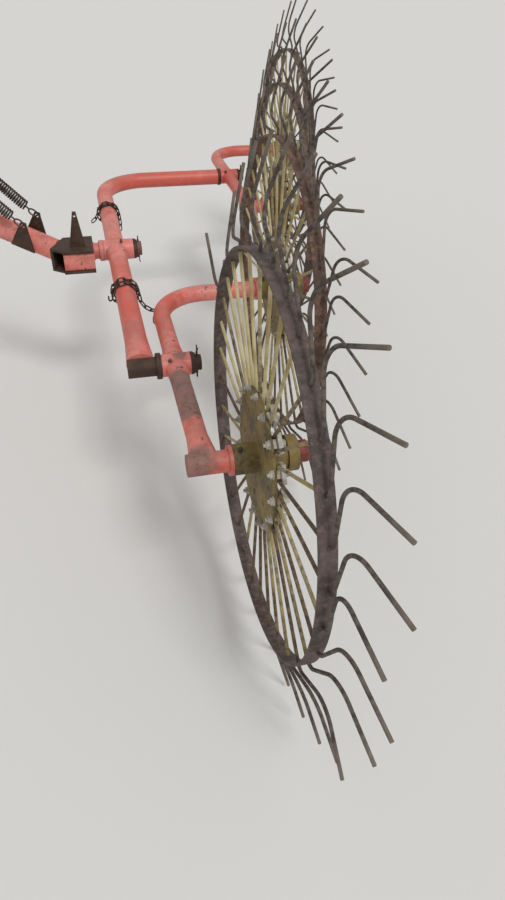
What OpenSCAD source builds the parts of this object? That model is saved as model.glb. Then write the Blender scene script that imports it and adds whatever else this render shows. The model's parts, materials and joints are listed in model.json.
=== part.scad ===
// Mounted finger-wheel hay rake with four ground-driven wheels.
// Lengths are millimetres. X runs along the wheel axles, away from the boom.
// Y is the way the wheels roll and Z is up.
// The origin is the middle of the top-link clevis on the headstock.

/* [Wheel rim] */
// Outer radius of the rim band
rim_radius = 425; // [400:1:450]
// Width of the rim band along the axle
rim_width = 32; // [26:1:40]
// Thickness of the rim band
rim_thickness = 5; // [4:0.5:7]

/* [Tines] */
// Tines on each wheel, each one wire from the hub through the rim
tine_count = 32; // [24:4:40]
// Diameter of the tine wire
tine_wire = 7.5; // [6:0.5:9]
// Distance from the axle at which the tines start, under the clamps
tine_start = 122; // [112:1:130]
// Bend radius just outside the rim
tine_root_radius = 14; // [12:1:18]
// How far a tine leans back from a right angle where it leaves the rim
tine_lay = 15; // [8:1:20]
// Straight stretch that lies along the rim
tine_reach = 80; // [60:1:90]
// Radius of the shoulder that turns the tine outwards
tine_shoulder_radius = 45; // [35:1:55]
// Straight finger at the end
tine_finger = 105; // [90:1:120]
// Sideways set of the tine outside the rim
tine_side_set = 14; // [8:1:18]

/* [Wheel hub] */
// Radius of the hub barrel on the arm side
barrel_radius = 33; // [28:0.5:38]
// Distance from the rim's middle plane to the barrel's inner end
barrel_inner = 61; // [54:1:70]
// Distance from the rim's middle plane to the barrel's outer end
barrel_outer = 77; // [66:1:90]
// Radius of the outer end flange of the hub
nave_radius = 39; // [35:0.5:44]
// Thickness of that flange
nave_thickness = 24; // [16:1:30]
// Radius of the spoke plate
plate_radius = 150; // [144:1:160]
// Thickness of the spoke plate
plate_thickness = 6; // [4:0.5:8]
// Bolt holes in the spoke plate
plate_holes = 8; // [6:1:10]
// Diameter of these holes
plate_hole_d = 13; // [10:1:16]
// Radius of their circle
plate_hole_circle = 98; // [80:1:104]
// Radius of the end cap
cap_radius = 24; // [20:0.5:30]
// Length of the end cap
cap_length = 24; // [16:1:32]
// Radius of the wheel axle
axle_radius = 15; // [12:0.5:18]
// Radial clearance of a turning fit
turning_fit = 0.3; // [0.2:0.05:0.5]

/* [Spoke clamps] */
// Length of a clamp along the wheel's radius
clamp_length = 24; // [18:1:30]
// Height of a clamp above the wires
clamp_height = 9; // [6:1:12]
// Distance of the clamps' middle from the axle
clamp_circle = 146; // [136:1:150]

/* [Rockers] */
// Length of a rocker's front arm, pivot to wheel axle
rocker_front = 400; // [380:5:430]
// Length of a rocker's rear arm, pivot to wheel axle
rocker_rear = 390; // [375:5:420]
// Outer diameter of the rocker tubes
rocker_tube = 48; // [44:1:54]
// Bend radius of the rear arm
rocker_bend = 140; // [110:5:170]
// Distance from the front wheel's rim plane to the arms' plane
rocker_gap = 118; // [110:1:130]
// Offset of the rear wheel from the front wheel along the axles
wheel_offset = 250; // [220:5:280]
// How far the crank stub reaches behind the arm's plane
crank_back = 38; // [34:1:44]
// Width of the arm where it spreads onto the crank stub
arm_spread = 66; // [54:1:70]
// Length over which it spreads
arm_spread_length = 90; // [60:5:110]
// Diameter of the collar between crank and hub
collar_d = 66; // [60:1:72]
// Thickness of that collar
collar_thickness = 8; // [6:1:10]

/* [Main beam] */
// Length of the beam's front arm, main pivot to front rocker pivot
beam_front = 770; // [730:5:800]
// Length of the beam's rear arm, main pivot to rear rocker pivot
beam_rear = 740; // [700:5:780]
// Outer diameter of the beam tubes
beam_tube = 60; // [56:1:66]
// Bend radius of the beam's rear arm
beam_bend = 180; // [150:5:210]
// Distance from the front rocker's arm plane to the beam's arm plane
beam_gap = 85; // [80:1:95]
// Offset of the rear rocker from the front rocker along the axles
rear_shift = 458; // [440:1:480]
// How far the front stub reaches behind the beam's plane
stub_back = 35; // [32:1:40]

/* [Pivots] */
// Outer diameter of the rocker bushings
bushing_d = 58; // [54:1:64]
// Length of the rocker bushings
bushing_length = 73; // [68:1:80]
// Radius of the rocker pivot pins
rocker_pin_radius = 20; // [17:0.5:22]
// Outer diameter of the main bushing
main_bushing_d = 66; // [62:1:72]
// Length of the main bushing
main_bushing_length = 99; // [90:1:110]
// Radius of the main pivot pin
main_pin_radius = 23; // [20:0.5:25]
// Thickness of the thrust collars
thrust_collar = 12; // [8:1:14]
// Thickness of each end washer
washer_thickness = 8; // [6:1:9]
// How far the end washers stand out over the pins
washer_rim = 9; // [7:1:11]
// Play between faces that turn on each other
face_play = 0.4; // [0.3:0.1:0.8]
// How far the pins reach past their washers
pin_end = 14; // [12:1:18]
// Diameter of the split pins
split_pin_d = 6; // [5:0.5:7]
// Length of the split pins
split_pin_length = 62; // [58:1:70]

/* [Boom] */
// Outer diameter of the boom tube
boom_tube = 70; // [64:1:76]
// Length of the boom, knuckle middle to lift hinge
boom_length = 800; // [760:10:860]
// Angle in plan between the boom and the wheel axles
boom_plan_angle = 25; // [20:1:30]
// Rise of the boom towards the headstock
boom_rise = 18; // [14:1:22]
// Length of the knuckle box along the pivot stub
knuckle_length = 97; // [90:1:110]
// Depth of the knuckle in front of the stub's axis
knuckle_front = 82; // [76:1:90]
// Depth of the knuckle behind that axis
knuckle_behind = 41; // [38:1:46]
// Depth of its open bevelled corner
knuckle_bevel = 31; // [24:1:36]
// Distance from the knuckle's middle to the boom's end
knuckle_reach = 15; // [12:1:20]
// Height over the knuckle's two plates
knuckle_height = 74; // [72:1:84]
// Thickness of the knuckle plates
knuckle_plate = 8; // [6:1:10]
// Diameter of the stub that leaves the knuckle
stub_d = 52; // [48:1:56]
// Length of the hook fin's foot
fin_base = 50; // [44:1:56]
// Height of the hook fin on the knuckle
fin_height = 110; // [90:5:130]
// Thickness of the hook fin
fin_thickness = 10; // [8:1:12]
// Length of a spring ear along the boom
ear_length = 80; // [70:1:95]
// Height of a spring ear above the boom's axis
ear_height = 74; // [68:1:84]
// Thickness of the ears
ear_thickness = 8; // [6:1:10]
// Distance from the knuckle to the ears' tips along the boom
ear_place = 126; // [115:1:140]
// Gap between the boom and each ear
ear_clear = 11; // [8:1:16]
// Radius of the bar that carries the ears
ear_bar_radius = 12; // [10:1:14]
// Distance from an ear's top to its hole
ear_hole_down = 12; // [10:1:14]
// Diameter of the holes in the ears
ear_hole_d = 14; // [13:0.5:16]

/* [Springs] */
// Outer diameter of the tension springs
spring_d = 36; // [32:1:40]
// Diameter of the spring wire
spring_wire = 6; // [5:0.5:7]
// Turns of each spring
spring_turns = 84; // [60:2:96]
// Radius of the eye that hooks into the ear
eye_radius = 15; // [14:0.5:17]
// Distance from the ear's hole to the first turn
spring_start = 44; // [38:1:60]
// Radius of the draw rod beyond the last turn
draw_rod_radius = 6; // [5:0.5:7]

/* [Headstock] */
// Height of the lower link pins above the ground
link_height = 520; // [480:10:560]
// Height from the lower link pins to the top link
mast_height = 460; // [440:10:480]
// Span over the shoulders of the lower link pins
link_span = 683; // [640:1:720]
// Radius of the lower link pins
link_pin_radius = 11; // [10:0.5:14]
// Length of the lower link pins outside the shoulder
link_pin_length = 60; // [50:1:75]
// Radius of the top link bore
top_bore_radius = 9.7; // [9.5:0.1:12.7]
// Gap between the top link ears
top_gap = 52; // [50:1:58]
// Thickness of the top link ears
top_ear = 12; // [10:1:16]
// Side of the mast's square tube
mast_side = 70; // [60:1:80]
// Height of the spring bar above the top link
anchor_rise = 355; // [320:5:400]
// Radius of the spring bar
anchor_radius = 18; // [15:1:20]
// How far the mast goes on above the spring bar
mast_head = 34; // [28:2:50]
// Outer diameter of the cross tube
frame_tube = 50; // [44:1:56]
// How far the mast goes down past the cross tube's axis
mast_foot = 60; // [45:5:80]
// Width of the braces
brace_width = 40; // [30:2:50]
// Thickness of the braces
brace_thickness = 20; // [14:2:26]
// Radius of the lower link pins' shoulders
shoulder_radius = 19; // [17:1:24]
// Thickness of these shoulders
shoulder_thickness = 10; // [8:1:14]
// Distance from the mast's face to the top link's axis
top_link_reach = 45; // [40:1:55]
// Distance from the lift hinge to the mast's middle
mast_place = 95; // [90:1:110]
// Radius of the lift hinge pin
hinge_pin_radius = 15; // [12:0.5:17]
// Outer diameter of the lift hinge's sleeve
hinge_sleeve_d = 56; // [50:1:62]
// Length of that sleeve
hinge_sleeve_length = 90; // [84:2:100]
// Thickness of the hinge cheeks and their back plate
cheek_thickness = 12; // [10:1:14]
// Half the height of the back plate
cheek_rise = 60; // [50:2:70]
// Distance from the mast's middle to the parking legs
leg_place = 240; // [200:5:270]
// Outer diameter of the parking legs
leg_d = 34; // [30:1:38]
// Wall of the sleeves that hold the legs
sleeve_wall = 5; // [4:0.5:7]
// Gap between a sleeve and the cross tube
sleeve_gap = 6; // [4:1:10]
// Length of the sleeves
sleeve_length = 150; // [120:5:180]
// Length of a leg's foot
foot_length = 200; // [160:10:240]
// Width of a leg's foot
foot_width = 90; // [70:5:110]
// Thickness of the foot
foot_thickness = 8; // [6:1:10]
// How far a leg stands out over its sleeve when parked
leg_rise = 40; // [30:5:80]

/* [Hidden] */
$fn = 32;
wire_fn = 16;
rim_fn = 180;

coral = "#d8503a";
rust = "#5b463f";
straw = "#9a8448";
steel = "#6f6a66";
silver = "#b9bbbd";

// Gap left at round seats between pieces that are fixed together
seat_gap = 0.05;
// What a cutter reaches past the face it opens
past = 1;

// Tine outside the rim: rows of straight length, bend radius, turn of the bend
tine_path = [
    [0, tine_root_radius, 90],
    [tine_reach, tine_shoulder_radius, -90],
    [tine_finger, 0, 0]
];
// Radii at which the spokes end and the tines begin, inside the band
spoke_end = rim_radius - rim_thickness + 2;
tine_root = rim_radius - 2;
// Heading, along and across at the end of a path's first k rows
function path_end(p, k, h = 0) = k == 0 ? [h, 0, 0] :
    let (e = path_end(p, k - 1, h), s = p[k - 1], a = e[0], g = sign(s[2]), b = a + s[2])
    [b,
     e[1] + s[0] * cos(a) + s[1] * g * (sin(b) - sin(a)),
     e[2] + s[0] * sin(a) + s[1] * g * (cos(a) - cos(b))];
// Middle of a tine's end, then the point of that end farthest from the axle
tine_end = path_end(tine_path, 3, -tine_lay);
tip_out = tine_root + tine_end[1] * cos(tine_side_set);
tip_turn = atan2(tine_end[2], tip_out);
tip_up = sin(tine_lay) * cos(tine_side_set) * cos(tip_turn) + cos(tine_lay) * sin(tip_turn);
tip_side = -sin(tine_side_set) * cos(tip_turn);
tip_length = norm([tip_up, tip_side]);
low_out = tip_out + tine_wire / 2 / tip_length
    * (tip_up * sin(tine_lay) * cos(tine_side_set) - tip_side * sin(tine_side_set));
low_across = tine_end[2] + tine_wire / 2 / tip_length * tip_up * cos(tine_lay);
wheel_reach = norm([low_out, low_across]);
low_angle = atan2(low_across, low_out);
tine_step = 360 / tine_count;
// Each wheel rests on two tines
hub_height = wheel_reach * cos(tine_step / 2);
function tine_angle(k) = (k + 0.5) * tine_step + 180 + low_angle;

// Clamps: half the distance of two spokes at the clamp, and the clamp's half width
spoke_half = clamp_circle * sin(tine_step / 2);
clamp_half = spoke_half + tine_wire / 2 + 2;
clamp_web_half = spoke_half - tine_wire / 2 - 1;
clamp_web_length = plate_radius - 1.5 - clamp_circle + clamp_length / 2;
plate_face = -tine_wire / 2 - seat_gap;

// Places along the axles, from the first wheel's rim plane
front_plane = -rocker_gap;
beam_plane = front_plane - beam_gap;
rear_plane = front_plane + rear_shift;
wheel_x = [0, wheel_offset, rear_shift, rear_shift + wheel_offset];
crank_end = rocker_gap - barrel_inner - collar_thickness;
// Places along the rolling direction, from the first wheel's axle
front_pivot_y = rocker_front;
main_pivot_y = front_pivot_y + beam_front;
rear_pivot_y = main_pivot_y + beam_rear;
wheel_y = [0, front_pivot_y + rocker_rear, rear_pivot_y - rocker_front, rear_pivot_y + rocker_rear];

// Rocker pivots: where the thrust collar, the washers and the pin's end stand from the plane
pivot_collar = -bushing_length / 2 - face_play - thrust_collar;
pivot_washers = bushing_length / 2 + face_play;
washers_depth = 2 * washer_thickness - 3;
split_pin_at = washers_depth + split_pin_d / 2 + 1;
// Main bushing, seen from the beam's plane, and what stands beside it
main_bushing_start = beam_plane - 42;
main_bushing_end = main_bushing_start + main_bushing_length;
main_collar_start = main_bushing_start - face_play - thrust_collar;
main_stub_length = 20;
knuckle_end = main_collar_start - main_stub_length;
knuckle_x = knuckle_end - knuckle_length;
// Boom and headstock
boom_run = boom_length * cos(boom_rise);
hinge_height = hub_height + boom_length * sin(boom_rise);
hinge_x = knuckle_x - boom_run * cos(boom_plan_angle);
hinge_y = main_pivot_y + boom_run * sin(boom_plan_angle);
mast_front = mast_place - mast_side / 2;
mast_back = mast_place + mast_side / 2;
top_link_out = mast_back + top_link_reach;
top_link_height = link_height + mast_height;
top_link_x = hinge_x - top_link_out * cos(boom_plan_angle);
top_link_y = hinge_y + top_link_out * sin(boom_plan_angle);
anchor_z = top_link_height + anchor_rise;
cross_length = link_span - 2 * shoulder_thickness;
leg_x = mast_place + frame_tube / 2 + sleeve_gap + sleeve_wall + leg_d / 2;
cheek_y = hinge_sleeve_length / 2 + face_play + cheek_thickness / 2;

// Springs from the ears to the bar, in the headstock's upright plane
ear_y = boom_tube / 2 + ear_clear + ear_thickness / 2;
ear_hole_up = ear_height - ear_hole_down;
spring_x = -(boom_length - ear_place) * cos(boom_rise) + ear_hole_up * sin(boom_rise);
spring_z = hinge_height - (boom_length - ear_place) * sin(boom_rise) + ear_hole_up * cos(boom_rise);
spring_span = norm([mast_place - spring_x, anchor_z - spring_z]);
spring_angle = atan2(anchor_z - spring_z, mast_place - spring_x);
spring_coil = spring_d / 2 - spring_wire / 2;

module placed() translate([-top_link_x, -top_link_y, -top_link_height]) children();
// Frame of the headstock: x to the tractor, y across, from below the lift hinge
module at_headstock() placed() translate([hinge_x, hinge_y, 0]) rotate([0, 0, 180 - boom_plan_angle]) children();
// Frame of the boom: x up along the boom, from the lift hinge
module at_boom() at_headstock() translate([0, 0, hinge_height]) rotate([0, -boom_rise, 0]) children();
module at_wheel(i) placed() translate([wheel_x[i], wheel_y[i], hub_height]) children();

// Round bars along X from a to b, and across Y about the middle
module bar_x(a, b, r) translate([a, 0, 0]) rotate([0, 90, 0]) cylinder(r = r, h = b - a);
module bar_y(length, r) rotate([90, 0, 0]) cylinder(r = r, h = length, center = true);

// Round wire or tube that starts at the origin along X and bends in the XY plane
module bent_bar(p, d, facets = 32, k = 0) {
    if (k < len(p)) {
        run = p[k][0];
        turn = p[k][2];
        side = sign(turn);
        if (run > 0) rotate([0, 90, 0]) cylinder(d = d, h = run, $fn = facets);
        translate([run, 0, 0]) {
            if (turn != 0) {
                translate([0, side * p[k][1], 0])
                    rotate([0, 0, side > 0 ? -90 : 90 + turn])
                        rotate_extrude(angle = abs(turn)) translate([p[k][1], 0]) circle(d = d, $fn = facets);
                translate([p[k][1] * sin(abs(turn)), side * p[k][1] * (1 - cos(turn)), 0])
                    rotate([0, 0, turn]) bent_bar(p, d, facets, k + 1);
            } else {
                bent_bar(p, d, facets, k + 1);
            }
        }
    }
}

// One wire in the wheel's frame: it runs out along Y, through the band, and folds back
module spoke() translate([0, tine_start, 0]) rotate([-90, 0, 0])
    cylinder(d = tine_wire, h = spoke_end - tine_start, $fn = wire_fn);
module tine() translate([0, tine_root, 0]) rotate([0, 0, 90 - tine_side_set])
    rotate([-90, 0, 0]) rotate([0, 0, -tine_lay]) bent_bar(tine_path, tine_wire, wire_fn);

module wheel_tines(i) color(rust) at_wheel(i) {
    rotate([0, 90, 0]) translate([0, 0, -rim_width / 2]) difference() {
        cylinder(r = rim_radius, h = rim_width, $fn = rim_fn);
        translate([0, 0, -past]) cylinder(r = rim_radius - rim_thickness, h = rim_width + 2 * past, $fn = rim_fn);
    }
    for (k = [0 : tine_count - 1])
        rotate([tine_angle(k), 0, 0]) {
            spoke();
            tine();
        }
}

// Hub barrel with its spoke plate, end flange and closed cap
module wheel_hub(i) color(straw) at_wheel(i) difference() {
    rotate([0, 90, 0]) rotate_extrude() polygon([
        [axle_radius + turning_fit, face_play - barrel_inner],
        [barrel_radius, face_play - barrel_inner],
        [barrel_radius, plate_face - plate_thickness],
        [plate_radius, plate_face - plate_thickness],
        [plate_radius, plate_face],
        [barrel_radius, plate_face],
        [barrel_radius, barrel_outer - nave_thickness],
        [nave_radius, barrel_outer - nave_thickness],
        [nave_radius, barrel_outer],
        [cap_radius, barrel_outer],
        [cap_radius, barrel_outer + cap_length],
        [0, barrel_outer + cap_length],
        [0, barrel_outer],
        [axle_radius + turning_fit, barrel_outer]
    ]);
    for (k = [0 : plate_holes - 1])
        rotate([k * 360 / plate_holes, 0, 0])
            translate([plate_face - plate_thickness - past, 0, plate_hole_circle])
                rotate([0, 90, 0]) cylinder(d = plate_hole_d, h = plate_thickness + 2 * past);
}

// Clamps that each hold two spokes on the plate, with a web between the wires
module wheel_clamps(i) color(silver) at_wheel(i)
    for (k = [0 : tine_count / 2 - 1])
        rotate([(2 * k + 1) * tine_step + 180 + low_angle, 0, 0])
            translate([0, clamp_circle - clamp_length / 2, 0]) {
                translate([tine_wire / 2 + seat_gap, 0, -clamp_half])
                    cube([clamp_height, clamp_length, 2 * clamp_half]);
                translate([plate_face, 0, -clamp_web_half])
                    cube([tine_wire + 2 * seat_gap + past, clamp_web_length, 2 * clamp_web_half]);
            }

module wheel_axle(i) color(steel) at_wheel(i) bar_x(-barrel_inner, barrel_outer - 6, axle_radius);

// Rocker with its front crank, bushing and bent rear arm
module rocker(plane, pivot_y) color(coral) placed() translate([plane, pivot_y, hub_height]) difference() {
    union() {
        bar_x(-bushing_length / 2, bushing_length / 2, bushing_d / 2);
        translate([0, -rocker_front, 0]) {
            bar_x(-crank_back, crank_end, rocker_tube / 2);
            bar_x(crank_end, crank_end + collar_thickness, collar_d / 2);
        }
        rotate([90, 0, 0]) cylinder(d = rocker_tube, h = rocker_front);
        intersection() {
            translate([0, -rocker_front, 0]) rotate([-90, 0, 0])
                cylinder(d1 = arm_spread, d2 = rocker_tube, h = arm_spread_length);
            translate([-arm_spread, -rocker_front, -rocker_tube / 2])
                cube([2 * arm_spread, arm_spread_length, rocker_tube]);
        }
        rotate([0, 0, 90]) bent_bar([
            [rocker_rear - rocker_bend, rocker_bend, -90],
            [crank_end + wheel_offset - rocker_bend, 0, 0]
        ], rocker_tube);
        translate([0, rocker_rear, 0])
            bar_x(crank_end + wheel_offset, crank_end + wheel_offset + collar_thickness, collar_d / 2);
    }
    bar_x(-bushing_length, bushing_length, rocker_pin_radius + turning_fit);
}

// Main beam with its bushing, straight front arm and bent rear arm
module beam() color(coral) placed() translate([beam_plane, main_pivot_y, hub_height]) difference() {
    union() {
        bar_x(main_bushing_start - beam_plane, main_bushing_end - beam_plane, main_bushing_d / 2);
        rotate([90, 0, 0]) cylinder(d = beam_tube, h = beam_front - rocker_tube / 3);
        rotate([0, 0, 90]) bent_bar([
            [beam_rear - beam_bend, beam_bend, -90],
            [rear_plane + pivot_collar - beam_plane - beam_bend, 0, 0]
        ], beam_tube);
    }
    bar_x(-main_bushing_length, main_bushing_length, main_pin_radius + turning_fit);
    translate([0, -beam_front, 0]) bar_x(-beam_tube, beam_tube, rocker_tube / 2 + seat_gap);
}

// Pin from a to b with the cross hole for a split pin
module end_pin(a, washers, r) difference() {
    bar_x(a, washers + washers_depth + pin_end, r);
    translate([washers + split_pin_at, 0, 0]) cylinder(d = split_pin_d + 2 * seat_gap, h = 3 * r, center = true);
}

// Stub, thrust collar and pin that a rocker turns on
module beam_front_pin() color(rust) placed() translate([front_plane, front_pivot_y, hub_height]) {
    bar_x(-beam_gap - stub_back, pivot_collar, rocker_tube / 2);
    rocker_pin();
}
module beam_rear_pin() color(rust) placed() translate([rear_plane, rear_pivot_y, hub_height]) rocker_pin();
module rocker_pin() {
    bar_x(pivot_collar, pivot_collar + thrust_collar, collar_d / 2);
    end_pin(pivot_collar + thrust_collar, pivot_washers, rocker_pin_radius);
}

// Two washers and a split pin at the end of a pin
module end_washers(r) {
    difference() {
        union() {
            bar_x(0, washer_thickness, r + washer_rim);
            bar_x(washer_thickness, washers_depth, r + washer_rim - 3);
        }
        bar_x(-past, washers_depth + past, r + seat_gap);
    }
    translate([split_pin_at, 0, 0]) cylinder(d = split_pin_d, h = split_pin_length, center = true, $fn = wire_fn);
}
module front_pivot_washers() color(rust)
    placed() translate([front_plane + pivot_washers, front_pivot_y, hub_height]) end_washers(rocker_pin_radius);
module rear_pivot_washers() color(rust)
    placed() translate([rear_plane + pivot_washers, rear_pivot_y, hub_height]) end_washers(rocker_pin_radius);
module main_pivot_washers() color(rust)
    placed() translate([main_bushing_end + face_play, main_pivot_y, hub_height]) end_washers(main_pin_radius);

// Stub that leaves the knuckle, its collar and the main pivot pin
module main_pivot_stub() color(coral) placed() translate([0, main_pivot_y, hub_height]) {
    bar_x(knuckle_end, main_collar_start, stub_d / 2);
    bar_x(main_collar_start, main_collar_start + thrust_collar, main_bushing_d / 2 + 1);
    end_pin(main_collar_start + thrust_collar, main_bushing_end + face_play, main_pin_radius);
}

// Plan of the knuckle: its left edge is square to the boom
function knuckle_left(y, wall) = (y * sin(boom_plan_angle) - knuckle_reach + wall) / cos(boom_plan_angle);
module knuckle_plan(wall = 0) {
    corner = knuckle_bevel - knuckle_front;
    polygon([
        [knuckle_left(corner, wall), corner],
        [0, wall - knuckle_front],
        [knuckle_length - wall, wall - knuckle_front],
        [knuckle_length - wall, knuckle_behind - wall],
        [knuckle_left(knuckle_behind - wall, wall), knuckle_behind - wall]
    ]);
}

module knuckle() color(rust) placed() translate([knuckle_x, main_pivot_y, hub_height]) difference() {
    inner = knuckle_height - 2 * knuckle_plate;
    linear_extrude(knuckle_height, center = true) knuckle_plan();
    linear_extrude(inner, center = true) knuckle_plan(knuckle_plate);
    // The bevelled corner is open between the plates
    translate([-knuckle_length, -knuckle_front - past, -inner / 2])
        cube([knuckle_length, knuckle_bevel + past, inner]);
}

// Triangular fin with a hook hole, welded on the knuckle
module hook_fin() color(rust) placed()
    translate([knuckle_x + 23, main_pivot_y - knuckle_front / 2, hub_height + knuckle_height / 2])
        rotate([90, 0, 0]) difference() {
            linear_extrude(fin_thickness, center = true)
                polygon([[0, 0], [fin_base, 0], [fin_base * 0.66, fin_height], [fin_base * 0.44, fin_height]]);
            translate([fin_base * 0.55, fin_height - 14, 0]) cylinder(d = 8, h = 2 * fin_thickness, center = true);
        }
// Boom tube with its hinge sleeve, cut square to the knuckle
module boom() color(coral) at_boom() difference() {
    union() {
        bar_x(-boom_length - boom_tube, 0, boom_tube / 2);
        bar_y(hinge_sleeve_length, hinge_sleeve_d / 2);
    }
    bar_y(2 * hinge_sleeve_length, hinge_pin_radius + turning_fit);
    translate([ear_place - boom_length, 0, 0]) bar_y(2 * boom_tube, ear_bar_radius + seat_gap);
    rotate([0, boom_rise, 0]) translate([-boom_run - boom_length, -boom_tube, -boom_length])
        cube([boom_length + knuckle_reach + seat_gap, 2 * boom_tube, boom_length]);
}

module spring_ears() color(rust) at_boom() translate([ear_place - boom_length, 0, 0]) {
    bar_y(2 * ear_y, ear_bar_radius);
    for (side = [-1, 1])
        translate([0, side * ear_y, 0]) rotate([90, 0, 0]) difference() {
            linear_extrude(ear_thickness, center = true) polygon([
                [-ear_length / 2 - 10, -ear_bar_radius],
                [ear_length / 2 - 10, -ear_bar_radius],
                [ear_hole_down, ear_hole_up],
                [ear_hole_down - 4, ear_height],
                [4 - ear_hole_down, ear_height],
                [-ear_hole_down, ear_hole_up]
            ]);
            translate([0, ear_hole_up, 0]) cylinder(d = ear_hole_d, h = 2 * ear_thickness, center = true);
        }
}

// Close-wound springs, each with an eye in its ear and a draw rod to an eye round the bar
module springs() color(steel) at_headstock() for (side = [-1, 1])
    translate([spring_x, side * ear_y, spring_z]) rotate([0, -spring_angle, 0]) {
        spring_end = spring_start + spring_turns * spring_wire;
        bar_eye = anchor_radius + turning_fit + draw_rod_radius;
        translate([eye_radius, 0, 0]) rotate_extrude() translate([eye_radius, 0])
            circle(d = spring_wire, $fn = wire_fn);
        translate([spring_span, 0, 0]) rotate([90, 0, 0]) rotate_extrude() translate([bar_eye, 0])
            circle(r = draw_rod_radius, $fn = wire_fn);
        rotate([0, 90, 0]) rotate_extrude() {
            for (k = [0 : spring_turns - 1])
                translate([spring_coil, spring_start + (k + 0.5) * spring_wire])
                    circle(d = spring_wire * 1.04, $fn = wire_fn);
            translate([0, 2 * eye_radius]) square([spring_wire / 2, spring_start - 2 * eye_radius + past]);
            translate([0, spring_start + past]) square([spring_coil, spring_wire - 2 * past]);
            translate([0, spring_end - spring_wire + past]) square([spring_coil, spring_wire - 2 * past]);
            translate([0, spring_end - 2 * past])
                square([draw_rod_radius, spring_span - bar_eye - spring_end + 2 * past]);
        }
    }

// Headstock pieces
module mast() color(coral) at_headstock() difference() {
    translate([mast_front, -mast_side / 2, link_height - mast_foot])
        cube([mast_side, mast_side, anchor_z + mast_head - link_height + mast_foot]);
    translate([mast_place, 0, link_height]) bar_y(2 * mast_side, frame_tube / 2 + seat_gap);
    translate([mast_place, 0, anchor_z]) bar_y(2 * mast_side, anchor_radius + seat_gap);
}

module spring_bar() color(coral) at_headstock() translate([mast_place, 0, anchor_z])
    bar_y(2 * ear_y + 60, anchor_radius);

module cross_tube() color(coral) at_headstock() translate([mast_place, 0, link_height])
    bar_y(cross_length, frame_tube / 2);

module braces() color(coral) at_headstock() for (side = [-1, 1]) {
    foot = [mast_place, side * (cross_length / 2 - brace_width), link_height];
    run = [0, side * ((mast_side - cross_length) / 2 + brace_width), mast_height - 80];
    difference() {
        translate(foot) rotate([side * atan2(abs(run[1]), run[2]), 0, 0])
            translate([-brace_thickness / 2, -brace_width / 2, -brace_width])
                cube([brace_thickness, brace_width, norm(run) + 2 * brace_width]);
        translate([mast_place - mast_side, side > 0 ? mast_side / 2 - cross_length : -mast_side / 2, 0])
            cube([2 * mast_side, cross_length, 2 * anchor_z]);
        translate([mast_place, 0, link_height]) bar_y(2 * cross_length, frame_tube / 2 + seat_gap);
        translate([mast_place - mast_side, -cross_length, 0]) cube([2 * mast_side, 2 * cross_length, link_height]);
    }
}

module top_ears() color(coral) at_headstock()
    for (side = [-1, 1])
        translate([mast_back, side * (top_gap + top_ear) / 2, top_link_height])
            rotate([90, 0, 0]) difference() {
                linear_extrude(top_ear, center = true) polygon([
                    [0, -50], [top_link_reach + 25, -28], [top_link_reach + 25, 28], [0, 50]
                ]);
                translate([top_link_reach, 0, 0]) cylinder(r = top_bore_radius, h = 2 * top_ear, center = true);
            }

module link_pins() color(steel) at_headstock() for (side = [-1, 1])
    translate([mast_place, side * cross_length / 2, link_height]) rotate([-side * 90, 0, 0]) difference() {
        union() {
            cylinder(r = shoulder_radius, h = shoulder_thickness);
            cylinder(r = link_pin_radius, h = shoulder_thickness + link_pin_length);
        }
        translate([0, 0, shoulder_thickness + link_pin_length - 12]) rotate([0, 90, 0])
            cylinder(d = 11, h = 4 * link_pin_radius, center = true);
    }

module leg_sleeves() color(coral) at_headstock() for (side = [-1, 1])
    translate([0, side * leg_place, link_height - sleeve_length / 2]) difference() {
        union() {
            translate([leg_x, 0, 0]) cylinder(d = leg_d + 2 * sleeve_wall, h = sleeve_length);
            translate([mast_place, -leg_d / 2, (sleeve_length - frame_tube) / 2 + 5])
                cube([leg_x - mast_place, leg_d, frame_tube - 10]);
        }
        translate([leg_x, 0, -past]) cylinder(d = leg_d + 1, h = sleeve_length + 2 * past);
        translate([mast_place, 0, sleeve_length / 2]) bar_y(2 * leg_d, frame_tube / 2 + seat_gap);
    }

module parking_leg(side) color(steel) at_headstock()
    translate([leg_x, side * leg_place, 0]) {
        cylinder(d = leg_d, h = link_height + sleeve_length / 2 + leg_rise);
        translate([-foot_length * 0.65, -foot_width / 2, 0]) cube([foot_length, foot_width, foot_thickness]);
    }

module hinge_cheeks() color(coral) at_headstock() translate([0, 0, hinge_height]) {
    translate([mast_front - cheek_thickness, -cheek_y - cheek_thickness / 2, -cheek_rise])
        cube([cheek_thickness, 2 * cheek_y + cheek_thickness, 2 * cheek_rise]);
    for (side = [-1, 1])
        translate([0, side * cheek_y, 0]) rotate([90, 0, 0]) difference() {
            linear_extrude(cheek_thickness, center = true) polygon([
                [-30, -26],
                [0, -34],
                [mast_front - past, -cheek_rise],
                [mast_front - past, cheek_rise],
                [0, 34],
                [-30, 26]
            ]);
            cylinder(r = hinge_pin_radius + seat_gap, h = 2 * cheek_thickness, center = true);
        }
}

module hinge_pin() color(steel) at_headstock() translate([0, 0, hinge_height])
    bar_y(2 * cheek_y + 3 * cheek_thickness, hinge_pin_radius);

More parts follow.
